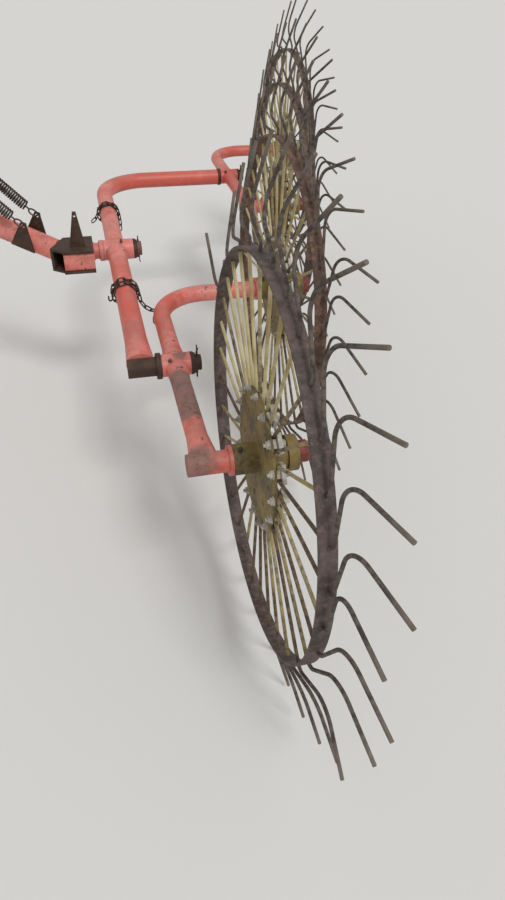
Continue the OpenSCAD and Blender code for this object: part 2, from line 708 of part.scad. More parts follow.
mast();
spring_bar();
cross_tube();
braces();
top_ears();
link_pins();
leg_sleeves();
parking_leg(1);  // left_parking_leg
parking_leg(-1);  // right_parking_leg
hinge_cheeks();
hinge_pin();
springs();
boom();
spring_ears();
knuckle();
hook_fin();
main_pivot_stub();
main_pivot_washers();
beam();
beam_front_pin();
front_pivot_washers();
beam_rear_pin();
rear_pivot_washers();
rocker(front_plane, front_pivot_y);  // front_rocker
wheel_axle(0);  // wheel1_axle
wheel_axle(1);  // wheel2_axle
rocker(rear_plane, rear_pivot_y);  // rear_rocker
wheel_axle(2);  // wheel3_axle
wheel_axle(3);  // wheel4_axle
wheel_tines(0);  // wheel1_tines
wheel_hub(0);  // wheel1_hub
wheel_clamps(0);  // wheel1_clamps
wheel_tines(1);  // wheel2_tines
wheel_hub(1);  // wheel2_hub
wheel_clamps(1);  // wheel2_clamps
wheel_tines(2);  // wheel3_tines
wheel_hub(2);  // wheel3_hub
wheel_clamps(2);  // wheel3_clamps
wheel_tines(3);  // wheel4_tines
wheel_hub(3);  // wheel4_hub
wheel_clamps(3);  // wheel4_clamps
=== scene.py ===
import bpy, bmesh, json, math
from mathutils import Matrix, Vector


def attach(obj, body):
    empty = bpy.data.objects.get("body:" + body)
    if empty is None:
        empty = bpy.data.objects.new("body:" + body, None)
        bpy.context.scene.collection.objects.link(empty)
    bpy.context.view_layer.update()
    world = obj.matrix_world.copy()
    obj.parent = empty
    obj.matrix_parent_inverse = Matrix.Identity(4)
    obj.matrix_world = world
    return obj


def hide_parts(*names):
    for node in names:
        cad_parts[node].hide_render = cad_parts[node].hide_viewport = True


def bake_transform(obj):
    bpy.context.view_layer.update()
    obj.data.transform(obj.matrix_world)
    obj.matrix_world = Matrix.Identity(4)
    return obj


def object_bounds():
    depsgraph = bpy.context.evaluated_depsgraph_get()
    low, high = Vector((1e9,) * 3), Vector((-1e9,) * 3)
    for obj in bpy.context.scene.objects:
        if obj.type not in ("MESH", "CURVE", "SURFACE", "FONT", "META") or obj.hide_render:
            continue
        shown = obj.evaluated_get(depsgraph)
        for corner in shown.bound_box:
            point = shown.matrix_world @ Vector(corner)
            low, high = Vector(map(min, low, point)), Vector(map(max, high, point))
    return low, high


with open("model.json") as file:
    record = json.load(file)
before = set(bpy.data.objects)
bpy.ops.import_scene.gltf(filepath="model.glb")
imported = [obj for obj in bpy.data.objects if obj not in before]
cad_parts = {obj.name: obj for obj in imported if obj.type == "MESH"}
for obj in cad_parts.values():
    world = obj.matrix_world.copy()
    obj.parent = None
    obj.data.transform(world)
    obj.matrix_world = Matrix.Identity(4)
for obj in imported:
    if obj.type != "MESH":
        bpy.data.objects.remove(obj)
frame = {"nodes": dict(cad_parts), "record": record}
cadBox = [list(corner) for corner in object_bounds()]
nodes = frame["nodes"]
behaviour = frame["record"]["behaviour"]
bodyOf = {node: body for body, names in behaviour["bodies"].items() for node in names}
print("frame loaded:", len(nodes), "nodes")

# Places that several pieces share, read off the joints
jointAt = {joint["name"]: Vector(joint["pos_m"]) for joint in behaviour["joints"] if "pos_m" in joint}
hubs = [jointAt["wheel%d_turn" % number] for number in (1, 2, 3, 4)]
mainPivot = jointAt["beam_rock"]
groundZ = cadBox[0][2]

# Angles of the wheels' spokes about the axle, in degrees
spokes = {"first": 8.80258, "step": 11.25}


def linear(code):
    # a "#rrggbb" colour in linear values
    parts = [int(code[at:at + 2], 16) / 255 for at in (1, 3, 5)]
    return tuple(p / 12.92 if p <= 0.04045 else ((p + 0.055) / 1.055) ** 2.4 for p in parts) + (1.0,)


class Wire:
    # one output of a node tree; sums of wires add Math nodes
    def __init__(self, tree, socket):
        self.tree, self.socket = tree, socket

    def math(self, operation, a, b=0.0, clamp=False):
        node = self.tree.nodes.new("ShaderNodeMath")
        node.operation, node.use_clamp = operation, clamp
        for slot, value in zip(node.inputs, (a, b)):
            if isinstance(value, Wire):
                self.tree.links.new(value.socket, slot)
            else:
                slot.default_value = value
        return Wire(self.tree, node.outputs[0])

    def __add__(self, other):
        return self.math("ADD", self, other)

    def __radd__(self, other):
        return self.math("ADD", other, self)

    def __sub__(self, other):
        return self.math("SUBTRACT", self, other)

    def __rsub__(self, other):
        return self.math("SUBTRACT", other, self)

    def __mul__(self, other):
        return self.math("MULTIPLY", self, other)

    def __rmul__(self, other):
        return self.math("MULTIPLY", other, self)

    def __truediv__(self, other):
        return self.math("DIVIDE", self, other)

    def __rtruediv__(self, other):
        return self.math("DIVIDE", other, self)

    def clipped(self):
        return self.math("ADD", self, 0.0, clamp=True)


class Graph:
    # a node tree, and the one way to add any node but the sums of wires
    def put(self, kind, settings, sockets, output=0):
        node = self.tree.nodes.new(kind)
        for key, value in settings.items():
            setattr(node, key, value)
        for key, value in sockets.items():
            for one in value if isinstance(value, list) else [value]:
                if isinstance(one, Wire):
                    self.tree.links.new(one.socket, node.inputs[key])
                else:
                    node.inputs[key].default_value = one
        return Wire(self.tree, node.outputs[output]) if len(node.outputs) else None


# Strength of all bumps, reach of worn edges, and depth of relief by kind, in metres
surface = {"bump": 0.6, "edge": 0.004, "paint": 0.0006, "rust": 0.0007, "hub": 0.0008}


class Finish(Graph):
    # a material with one Principled shader
    def __init__(self, name):
        self.material = bpy.data.materials.new(name)
        self.material.use_nodes = True
        self.tree = self.material.node_tree
        self.shader = self.tree.nodes["Principled BSDF"]
        self.place = self.put("ShaderNodeTexCoord", {}, {}, "Object")

    def noise(self, scale, detail, rough=0.55, offset=0.0):
        # another offset takes another part of the noise
        moved = self.put("ShaderNodeMapping", {}, {
            "Vector": self.place, "Location": (offset, offset * 0.7, -offset)})
        return self.put("ShaderNodeTexNoise", {}, {
            "Vector": moved, "Scale": scale, "Detail": detail, "Roughness": rough}, "Fac")

    def step(self, value, low, high):
        return self.put("ShaderNodeMapRange", {"interpolation_type": "SMOOTHSTEP"}, {
            "Value": value, "From Min": low, "From Max": high})

    def blend(self, amount, a, b):
        # sockets 6 and 7 are the colours of a Mix node set to RGBA
        return self.put("ShaderNodeMix", {"data_type": "RGBA"}, {0: amount, 6: a, 7: b}, 2)

    def edges(self):
        # 0 on flat faces, towards 1 along edges
        eased = self.put("ShaderNodeBevel", {"samples": 4}, {"Radius": surface["edge"]})
        flat = self.put("ShaderNodeNewGeometry", {}, {}, "Normal")
        same = self.put("ShaderNodeVectorMath", {"operation": "DOT_PRODUCT"}, {0: eased, 1: flat}, "Value")
        return self.step(1 - same, 0.02, 0.25)

    def close(self, color, roughness, metallic=0.0, height=None, relief=0.0):
        links = {"Base Color": color, "Roughness": roughness, "Metallic": metallic}
        if height is not None:
            links["Normal"] = self.put("ShaderNodeBump", {}, {
                "Height": height, "Strength": surface["bump"], "Distance": relief})
        for key, value in links.items():
            if isinstance(value, Wire):
                self.tree.links.new(value.socket, self.shader.inputs[key])
            else:
                self.shader.inputs[key].default_value = value
        return self.material


def shadesOf(look):
    return {key: linear(value) for key, value in look.items() if isinstance(value, str)}


# Higher wear and chips leave more paint; the scales are of noise, coarse to fine
paintLook = {
    "paint": "#cb5a4b", "faded": "#dc857a", "shade": "#a54538", "film": "#9c5f52", "primer": "#7a5f58",
    "rust": "#4a332c", "dust": "#a08c7e", "scuffed": "#85675f", "scuffedDark": "#5c4843",
    "wear": 0.70, "chips": 0.66, "dusty": 0.3, "edgeWear": 0.55, "roughness": 0.40,
    "cloudScale": 5.0, "filmScale": 11.0, "dustScale": 22.0, "mottleScale": 38.0, "bareScale": 90.0,
    "fineScale": 260.0,
}


def paintedSteel(name, look, wear=0.0, places=()):
    # faded paint over primer and rust; places are (point, radius) that have rubbed through
    skin = Finish(name)
    shade = shadesOf(look)
    cloud = skin.noise(look["cloudScale"], 3)
    mottle = skin.noise(look["mottleScale"], 5, 0.6, 3.0)
    fine = skin.noise(look["fineScale"], 4, 0.6, 7.0)
    broad = skin.noise(look["filmScale"], 5, 0.6, 13.0)
    paint = skin.blend(skin.step(cloud * 0.6 + mottle * 0.4, 0.40, 0.60), shade["paint"], shade["faded"])
    paint = skin.blend(skin.step(mottle, 0.52, 0.75) * 0.4, paint, shade["shade"])
    paint = skin.blend(skin.step(broad * 0.7 + fine * 0.3, 0.50, 0.66) * 0.55, paint, shade["film"])
    baldFrom = look["wear"] + 0.26 - wear
    bald = skin.step(mottle + cloud * 0.5 + fine * 0.12, baldFrom, baldFrom + 0.10)
    chipFrom = look["chips"] - wear * 0.3
    chips = skin.step(fine * 0.6 + mottle * 0.4, chipFrom, chipFrom + 0.04)
    bald = bald.math("MAXIMUM", bald, chips * 0.7)
    patches = skin.step(skin.noise(look["bareScale"], 5, 0.65, 11.0), 0.4, 0.62)
    color = skin.blend(bald, paint, skin.blend(patches, shade["primer"], shade["rust"]))
    for point, radius in places:
        away = skin.put("ShaderNodeVectorMath", {"operation": "DISTANCE"}, {0: skin.place, 1: point}, "Value")
        ragged = away + (mottle + fine * 0.5 - 0.75) * radius * 1.6
        near = 1 - skin.step(ragged, radius * 0.7, radius * 1.25)
        scuffs = skin.step(fine * 0.4 + mottle * 0.6, 0.45, 0.62)
        color = skin.blend(near * 0.9, color, skin.blend(scuffs, shade["scuffed"], shade["scuffedDark"]))
        bald = bald.math("MAXIMUM", bald, near * 0.8)
    normal = skin.put("ShaderNodeNewGeometry", {}, {}, "Normal")
    up = skin.put("ShaderNodeSeparateXYZ", {}, {0: normal}, "Z")
    drifts = skin.step(skin.noise(look["dustScale"], 4, 0.6, 5.0), 0.42, 0.7)
    dust = skin.step(up, 0.2, 1.0) * drifts * look["dusty"]
    color = skin.blend(dust, color, shade["dust"])
    color = skin.blend(skin.edges() * look["edgeWear"], color, shade["primer"])
    rough = look["roughness"] + bald * 0.36 + mottle * 0.12 + dust * 0.3
    return skin.close(color, rough.clipped(), 0.0, fine * 0.35 - bald * 0.7, surface["paint"])


def rustySteel(name, dark, light, bright, scale=60.0, metallic=0.25, offset=0.0):
    # bare steel gone to rust: dark film, lighter bloom and scattered bright spots
    skin = Finish(name)
    film = skin.noise(scale * 0.25, 4, 0.6, offset)
    grain = skin.noise(scale, 6, 0.65, offset + 2.0)
    spots = skin.noise(scale * 4.5, 4, 0.6, offset + 4.0)
    color = skin.blend(skin.step(film * 0.6 + grain * 0.4, 0.4, 0.62), linear(dark), linear(light))
    color = skin.blend(skin.step(grain * 0.5 + spots * 0.5, 0.56, 0.68) * 0.7, color, linear(bright))
    rough = 0.55 + grain * 0.3
    return skin.close(color, rough.clipped(), metallic, grain * 0.7 + spots * 0.5, surface["rust"])


# The pairs are radii, in metres, between which one finish gives way to the next
wheelLook = {
    "straw": "#9f8d5c", "strawPale": "#c2b68c", "spokeRust": "#6e5840", "spokeDark": "#41352c",
    "rimDark": "#483e3b", "rimLight": "#675854", "rimBloom": "#836d62",
    "tineDark": "#3f3733", "tineLight": "#685d54", "tineTip": "#7f7266",
    "lowRust": 0.5, "filmScale": 14.0, "grainScale": 75.0, "spotScale": 330.0,
    "bandInside": (0.416, 0.4195), "bandOutside": (0.4255, 0.431), "tips": (0.56, 0.60),
}
brownRim = dict(wheelLook, rimDark="#4d3a31", rimLight="#775a4a", rimBloom="#937260")
paleRim = dict(wheelLook, rimDark="#4b3f39", rimLight="#735f54", rimBloom="#8d7565")


def wheelSteel(name, hub, look, offset):
    # spokes keep some straw paint, the band is rusted, the tines outside are rubbed steel
    skin = Finish(name)
    shade = shadesOf(look)
    local = skin.put("ShaderNodeVectorMath", {"operation": "SUBTRACT"}, {
        0: skin.place, 1: tuple(hub)}, "Vector")
    inPlane = skin.put("ShaderNodeVectorMath", {"operation": "MULTIPLY"}, {
        0: local, 1: (0, 1, 1)}, "Vector")
    radius = skin.put("ShaderNodeVectorMath", {"operation": "LENGTH"}, {0: inPlane}, "Value")
    film = skin.noise(look["filmScale"], 4, 0.6, offset)
    grain = skin.noise(look["grainScale"], 6, 0.65, offset + 2.0)
    spots = skin.noise(look["spotScale"], 4, 0.6, offset + 5.0)
    # every spoke has kept more or less of its paint, by its number about the axle, which 64 keeps above 0
    level = skin.put("ShaderNodeSeparateXYZ", {}, {0: local}, "Y")
    upward = skin.put("ShaderNodeSeparateXYZ", {}, {0: local}, "Z")
    turn = upward.math("ARCTAN2", upward, level)
    number = (turn - math.radians(spokes["first"])) / math.radians(spokes["step"]) + 64.0
    index = turn.math("FLOOR", number)
    kept = skin.put("ShaderNodeTexWhiteNoise", {"noise_dimensions": "1D"}, {"W": index + offset}, "Value")
    straw = skin.blend(skin.step(film, 0.35, 0.65), shade["straw"], shade["strawPale"])
    brown = skin.blend(skin.step(grain, 0.35, 0.65), shade["spokeRust"], shade["spokeDark"])
    worn = kept * 0.34 + grain * 0.28 + film * 0.38 + radius * 0.12 - upward * look["lowRust"]
    spoke = skin.blend(skin.step(worn, 0.42, 0.64), straw, brown)
    band = skin.blend(skin.step(film * 0.55 + grain * 0.45, 0.42, 0.6), shade["rimDark"], shade["rimLight"])
    band = skin.blend(skin.step(grain * 0.5 + spots * 0.5, 0.53, 0.64) * 0.75, band, shade["rimBloom"])
    tine = skin.blend(skin.step(grain, 0.38, 0.62), shade["tineDark"], shade["tineLight"])
    tip = skin.step(radius, *look["tips"])
    tine = skin.blend(tip * 0.5, tine, shade["tineTip"])
    color = skin.blend(skin.step(radius, *look["bandInside"]), spoke, band)
    color = skin.blend(skin.step(radius, *look["bandOutside"]), color, tine)
    rough = 0.5 + grain * 0.3 + skin.step(radius, 0.30, 0.42) * 0.08 - tip * 0.12
    return skin.close(color, rough.clipped(), 0.2, grain * 0.8 + spots * 0.4, surface["rust"])


# The cap begins between these distances from the joint, in metres
hubLook = {
    "mustard": "#836e3b", "olive": "#6c5f39", "brown": "#54442f", "dark": "#392f26",
    "capRed": "#80372d", "capBrown": "#522d26",
    "filmScale": 18.0, "grainScale": 85.0, "cap": (0.0765, 0.0775),
}


def hubSteel(name, hub, look, offset):
    # mustard paint worn to brown; the cap on the far side is dark red
    skin = Finish(name)
    shade = shadesOf(look)
    along = skin.put("ShaderNodeSeparateXYZ", {}, {0: skin.place}, "X") - hub.x
    film = skin.noise(look["filmScale"], 4, 0.6, offset)
    grain = skin.noise(look["grainScale"], 6, 0.65, offset + 2.0)
    paint = skin.blend(skin.step(film, 0.35, 0.65), shade["mustard"], shade["olive"])
    bare = skin.blend(skin.step(grain, 0.42, 0.6), shade["brown"], shade["dark"])
    color = skin.blend(skin.step(grain * 0.5 + film * 0.5, 0.44, 0.66) * 0.85, paint, bare)
    red = skin.blend(skin.step(grain, 0.42, 0.64), shade["capRed"], shade["capBrown"])
    color = skin.blend(skin.step(along, *look["cap"]), color, red)
    rough = 0.5 + grain * 0.32
    return skin.close(color, rough.clipped(), 0.1, grain * 0.9, surface["hub"])


# Where the paint is rubbed through: place from the joint, and radius
rubbed = {
    "beam_rock": (((0.095, 0.0, 0.0), 0.044),),
    "front_rock": (
        ((-0.004, -0.10, 0.02), 0.042), ((0.0, -0.165, 0.02), 0.050), ((0.004, -0.225, 0.02), 0.040),
        ((-0.02, -0.405, 0.012), 0.040), ((0.012, 0.0, 0.028), 0.017)),
}


def rubbedAt(joint):
    return [(tuple(jointAt[joint] + Vector(away)), radius) for away, radius in rubbed[joint]]


stubLook = dict(paintLook, scuffed="#5a4840", scuffedDark="#3b302b")
# the web's darker film is partly real film and partly painted shade from the plates over it
webFilmAndShadeLook = dict(paintLook, film="#7c4a3f")
finishes = {
    "coral": paintedSteel("coralPaint", paintLook),
    "coralStub": paintedSteel("coralPaintStub", stubLook, 0.0, rubbedAt("beam_rock")),
    "coralWorn": paintedSteel("coralPaintWorn", paintLook, 0.03, rubbedAt("front_rock")),
    "coralMast": paintedSteel("coralPaintMast", paintLook, -0.02),
    "chainRust": rustySteel("chainRust", "#2e231d", "#4a372c", "#6b4a34", 110.0, 0.3, 15.0),
    "darkRust": rustySteel("darkRust", "#38291f", "#553d31", "#7a5238"),
    "bareSteel": rustySteel("bareSteel", "#4e4741", "#7b736a", "#8a6a4e", 80.0, 0.55, 3.0),
    "springSteel": rustySteel("springSteel", "#383029", "#6a5c52", "#846a55", 90.0, 0.55, 6.0),
    # the web: more wear, and a darker film that is partly painted shade from the plates
    "coralWornShadedWeb": paintedSteel("coralPaintWornShadedWeb", webFilmAndShadeLook, 0.05),
    "zinc": rustySteel("dullZinc", "#9a958a", "#cfcabd", "#7a6a56", 120.0, 0.45, 9.0),
    "galvanised": rustySteel("galvanisedLegs", "#77787a", "#97999a", "#6d5b4b", 45.0, 0.5, 12.0),
}
# each wheel takes its own part of the noise
for i, (hub, look) in enumerate(zip(hubs, (wheelLook, brownRim, paleRim, paleRim))):
    finishes["wheel%d" % (i + 1)] = wheelSteel("wheel%dSteel" % (i + 1), hub, look, i * 1.7)
    finishes["hub%d" % (i + 1)] = hubSteel("hub%dPaint" % (i + 1), hub, hubLook, i * 2.3)
print("finishes made:", len(finishes))

# Which finish each CAD node takes; the wheels' nodes go by the end of their names
dressing = {
    "front_rocker": "coralWorn", "rear_rocker": "coral", "beam": "coral", "boom": "coral",
    "main_pivot_stub": "coralStub", "mast": "coralMast", "spring_bar": "coralMast", "cross_tube": "coralMast",
    "braces": "coralMast", "top_ears": "coralMast", "leg_sleeves": "coralMast", "hinge_cheeks": "coralMast",
    "link_pins": "bareSteel", "hinge_pin": "bareSteel",
    "left_parking_leg": "galvanised", "right_parking_leg": "galvanised",
    "knuckle": "darkRust", "hook_fin": "darkRust", "spring_ears": "darkRust",
    "beam_front_pin": "darkRust", "beam_rear_pin": "darkRust",
    "main_pivot_washers": "darkRust", "front_pivot_washers": "darkRust", "rear_pivot_washers": "darkRust",
}


def finishFor(name):
    if name in dressing:
        return finishes[dressing[name]]
    wheel, _, kind = name.partition("_")
    return {"tines": finishes[wheel], "hub": finishes["hub" + wheel[-1]],
            "clamps": finishes["zinc"], "axle": finishes["bareSteel"]}[kind]


def addPiece(name, mesh, finish, body):
    piece = bpy.data.objects.new(name, mesh)
    bpy.context.scene.collection.objects.link(piece)
    mesh.materials.clear()
    mesh.materials.append(finish)
    if body:
        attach(piece, body)
    return piece


def smoothMesh(bm, limit):
    # smooth faces, with the edges sharper than limit, in degrees, kept crisp
    for face in bm.faces:
        face.smooth = True
        face.material_index = 0
    for edge in bm.edges:
        edge.smooth = len(edge.link_faces) == 2 and edge.calc_face_angle(math.pi) < math.radians(limit)


def easeEdges(piece, width, limit, harden):
    # a narrow bevel along the edges sharper than limit, in degrees
    bevel = piece.modifiers.new("ease", "BEVEL")
    bevel.width, bevel.segments, bevel.limit_method = width, 2, "ANGLE"
    bevel.angle_limit, bevel.harden_normals = math.radians(limit), harden


# Tines bent out of line, by wheel: number, lean in the wheel's plane and set sideways, in degrees
bentTines = {
    "wheel1_tines": ((18, -7, -16), (31, -10, -9), (2, 6, -7)),
    "wheel2_tines": ((29, 9, 5),),
    "wheel3_tines": ((26, -6, 10),),
    "wheel4_tines": ((23, 10, -6),),
}
# Radii of the tines' roots and of the band's outside, and how all tines are laid back and set, in degrees
tineLay = {"root": 0.423, "band": 0.4256, "near": 0.012, "lay": 15.0, "side": 14.0}


def tineTurn(lean, sideways):
    return (Matrix.Rotation(math.radians(90 - tineLay["side"] - sideways), 4, "Z")
            @ Matrix.Rotation(math.radians(-90), 4, "X")
            @ Matrix.Rotation(math.radians(-tineLay["lay"] - lean), 4, "Z"))


def bendTines(bm, hub, rows):
    # the wire outside the band is turned about its root as a whole
    for number, lean, sideways in rows:
        angle = math.radians(180 + spokes["first"] + (number + 0.5) * spokes["step"])
        atRoot = (Matrix.Translation(hub) @ Matrix.Rotation(angle, 4, "X")
                  @ Matrix.Translation((0, tineLay["root"], 0)))
        root = atRoot.translation
        outside = {v for v in bm.verts if math.hypot(v.co.y - hub.y, v.co.z - hub.z) > tineLay["band"]}
        found = [v for v in outside if (v.co - root).length < tineLay["near"]]
        wire = set(found)
        while found:
            for edge in found.pop().link_edges:
                for v in edge.verts:
                    if v in outside and v not in wire:
                        wire.add(v)
                        found.append(v)
        move = atRoot @ tineTurn(lean, sideways) @ tineTurn(0, 0).inverted() @ atRoot.inverted()
        bmesh.ops.transform(bm, matrix=move, verts=list(wire))


# How copies of the nodes are cleaned: metres to merge and to ease edges by, and angles in degrees
cleaning = {"merge": 2e-6, "flat": 0.6, "crisp": 34.0, "ease": 0.0009, "easeFrom": 40.0}


def dressNode(name):
    # a merged, smooth copy of a CAD node; all but the wires have their edges eased
    wiry = name.endswith("_tines")
    mesh = nodes[name].data.copy()
    mesh.name = name + "Mesh"
    bm = bmesh.new()
    bm.from_mesh(mesh)
    bmesh.ops.remove_doubles(bm, verts=bm.verts, dist=cleaning["merge"])
    if name in bentTines:
        bendTines(bm, jointAt[bodyOf[name] + "_turn"], bentTines[name])
    if not wiry:
        flat = math.radians(cleaning["flat"])
        bmesh.ops.dissolve_limit(bm, angle_limit=flat, verts=bm.verts, edges=bm.edges)
    smoothMesh(bm, cleaning["crisp"])
    bm.to_mesh(mesh)
    bm.free()
    piece = addPiece(name + "Shown", mesh, finishFor(name), bodyOf[name])
    if not wiry:
        easeEdges(piece, cleaning["ease"], cleaning["easeFrom"], True)
    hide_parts(name)
    return mesh


triangles = 0
for name in nodes:
    if name != "springs":
        mesh = dressNode(name)
        mesh.calc_loop_triangles()
        triangles += len(mesh.loop_triangles)
print("nodes dressed:", triangles, "triangles before their edges are eased")


class Shape(Graph):
    # a Geometry Nodes tree with named inputs, which grows into a plain mesh
    def __init__(self, name, sizes, base=None):
        self.tree = bpy.data.node_groups.new(name, "GeometryNodeTree")
        self.base = base or bpy.data.meshes.new("holderMesh")
        self.sizes = sizes
        self.tree.interface.new_socket("Base", in_out="INPUT", socket_type="NodeSocketGeometry")
        kinds = {int: "NodeSocketInt", float: "NodeSocketFloat"}
        for key, value in sizes.items():
            self.tree.interface.new_socket(key, in_out="INPUT", socket_type=kinds[type(value)])
        self.tree.interface.new_socket("Finish", in_out="INPUT", socket_type="NodeSocketMaterial")
        self.tree.interface.new_socket("Geometry", in_out="OUTPUT", socket_type="NodeSocketGeometry")

    def size(self, key):
        return self.put("NodeGroupInput", {}, {}, key)

    def vector(self, x=0.0, y=0.0, z=0.0):
        return self.put("ShaderNodeCombineXYZ", {}, {"X": x, "Y": y, "Z": z})

    def moved(self, geometry, translation, rotation=(0, 0, 0)):
        return self.put("GeometryNodeTransform", {}, {
            "Geometry": geometry, "Translation": translation, "Rotation": rotation})

    def joined(self, *parts):
        return self.put("GeometryNodeJoinGeometry", {}, {"Geometry": list(parts)})

    def line(self, start, end):
        return self.put("GeometryNodeCurvePrimitiveLine", {}, {"Start": start, "End": end})

    def ring(self, radius, points):
        return self.put("GeometryNodeCurvePrimitiveCircle", {}, {"Resolution": points, "Radius": radius})

    def cylinder(self, radius, depth, sides):
        return self.put("GeometryNodeMeshCylinder", {}, {
            "Vertices": sides, "Radius": radius, "Depth": depth}, "Mesh")

    def rod(self, path, radius, sides):
        return self.put("GeometryNodeCurveToMesh", {}, {
            "Curve": path, "Profile Curve": self.ring(radius, sides), "Fill Caps": True})

    def grow(self, result, finish):
        real = self.put("GeometryNodeRealizeInstances", {}, {"Geometry": result})
        real = self.put("GeometryNodeSetShadeSmooth", {}, {"Geometry": real, "Shade Smooth": True})
        done = self.put("GeometryNodeSetMaterial", {}, {"Geometry": real, "Material": self.size("Finish")})
        self.put("NodeGroupOutput", {}, {"Geometry": done})
        values = dict(self.sizes, Finish=finish)
        holder = bpy.data.objects.new("holder", self.base)
        bpy.context.scene.collection.objects.link(holder)
        growth = holder.modifiers.new("growth", "NODES")
        growth.node_group = self.tree
        for item in self.tree.interface.items_tree:
            if item.in_out == "INPUT" and item.name != "Base":
                growth[item.identifier] = values[item.name]
        graph = bpy.context.evaluated_depsgraph_get()
        mesh = bpy.data.meshes.new_from_object(holder.evaluated_get(graph), depsgraph=graph)
        holder.modifiers.remove(growth)
        bpy.data.objects.remove(holder)
        return mesh


def crisp(mesh, limit=34.0):
    # merged, with normals outward, and smooth but for edges sharper than limit
    bm = bmesh.new()
    bm.from_mesh(mesh)
    bmesh.ops.remove_doubles(bm, verts=bm.verts, dist=1e-6)
    bmesh.ops.recalc_face_normals(bm, faces=bm.faces)
    smoothMesh(bm, limit)
    bm.to_mesh(mesh)
    bm.free()
    return mesh


def joinMeshes(name, meshes):
    bm = bmesh.new()
    for mesh in meshes:
        bm.from_mesh(mesh)
    joined = bpy.data.meshes.new(name)
    bm.to_mesh(joined)
    bm.free()
    return joined


def arcPoints(radius, start, end, steps):
    # pairs along an arc, from one angle to another in radians
    angles = [start + (end - start) * i / steps for i in range(steps + 1)]
    return [(radius * math.cos(angle), radius * math.sin(angle)) for angle in angles]


def turned(x=0.0, y=0.0, z=0.0):
    # degrees, about X first
    return Matrix.Rotation(math.radians(z), 4, "Z") @ Matrix.Rotation(math.radians(y), 4, "Y") \
        @ Matrix.Rotation(math.radians(x), 4, "X")


# Turns a shape's z to X, along the axles, and its x to Y
alongAxle = Matrix(((0, 0, 1), (1, 0, 0), (0, 1, 0))).to_4x4()

# Tension springs: wire eye in the ear, coil, draw rod and an eye round the bar
springSize = {
    "Turns": 63, "Coil Radius": 0.015, "Wire": 0.0027, "Pitch": 0.008, "Start": 0.044,
    "Eye": 0.015, "Rod": 0.006, "Bar Eye": 0.0243, "Plug": 0.0128, "Span": 0.977009,
}
# Their lower eyes from the boom's joint, rise and heading in degrees, and what stays straight at the ends
springPlace = {
    "along": -0.660171, "below": 0.149312, "sideways": 0.050, "rise": 39.3812, "plan": 155.0, "held": 0.045,
}


def springMesh(finish):
    form = Shape("springTree", springSize)
    length = form.size("Turns") * form.size("Pitch")
    coilStart = form.size("Start") + form.size("Wire")
    plugAt = form.size("Start") + length - form.size("Pitch")
    coil = form.put("GeometryNodeCurveSpiral", {}, {
        "Resolution": 22, "Rotations": form.size("Turns"), "Start Radius": form.size("Coil Radius"),
        "End Radius": form.size("Coil Radius"), "Height": length - form.size("Wire") * 2})
    coil = form.moved(coil, form.vector(z=coilStart))
    eye = form.moved(form.ring(form.size("Eye"), 32), form.vector(z=form.size("Eye")), (0, math.pi / 2, 0))
    shank = form.line(form.vector(z=form.size("Eye") * 2), form.vector(z=coilStart))
    tail = form.line(form.vector(z=coilStart), form.vector(x=form.size("Coil Radius"), z=coilStart))
    thin = form.rod(form.joined(coil, eye, shank, tail), form.size("Wire"), 9)
    draw = form.line(form.vector(z=plugAt), form.vector(z=form.size("Span") - form.size("Bar Eye")))
    barEye = form.ring(form.size("Bar Eye"), 36)
    barEye = form.moved(barEye, form.vector(z=form.size("Span")), (math.pi / 2, 0, 0))
    thick = form.rod(form.joined(draw, barEye), form.size("Rod"), 14)
    plug = form.cylinder(form.size("Coil Radius"), form.size("Plug"), 28)
    plug = form.moved(plug, form.vector(z=plugAt))
    return crisp(form.grow(form.joined(thin, thick, plug), finish), 50)


plan, rise = math.radians(springPlace["plan"]), math.radians(springPlace["rise"])
outward = Vector((math.cos(plan), math.sin(plan), 0))
across = Vector((-math.sin(plan), math.cos(plan), 0))
pull = outward * math.cos(rise) + Vector((0, 0, math.sin(rise)))
facing = Matrix((across.cross(pull), across, pull)).transposed().to_4x4()
lowEnd = jointAt["boom_lift"] + outward * springPlace["along"] - Vector((0, 0, springPlace["below"]))
coils = []
for side in (-1, 1):
    one = springMesh(finishes["springSteel"])
    one.transform(Matrix.Translation(lowEnd + across * side * springPlace["sideways"]) @ facing)
    coils.append(one)
# both springs are one piece, attached to no body
bothCoils = joinMeshes("springsMesh", coils)
springs = addPiece("springsShown", bothCoils, finishes["springSteel"], None)
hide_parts("springs")
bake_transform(springs)
print("springs wound")

# Bolts through the clamps, with nuts behind the spoke plate; front and back are from the joint
boltSize = {
    "Count": 16, "Circle": 0.146, "Head": 0.0075, "Head Height": 0.0055, "Washer": 0.0095,
    "Washer Height": 0.0016, "Stud": 0.0039, "Stud Length": 0.012, "Stud Past": 0.002,
    "Front": 0.01285, "Back": -0.00985,
}


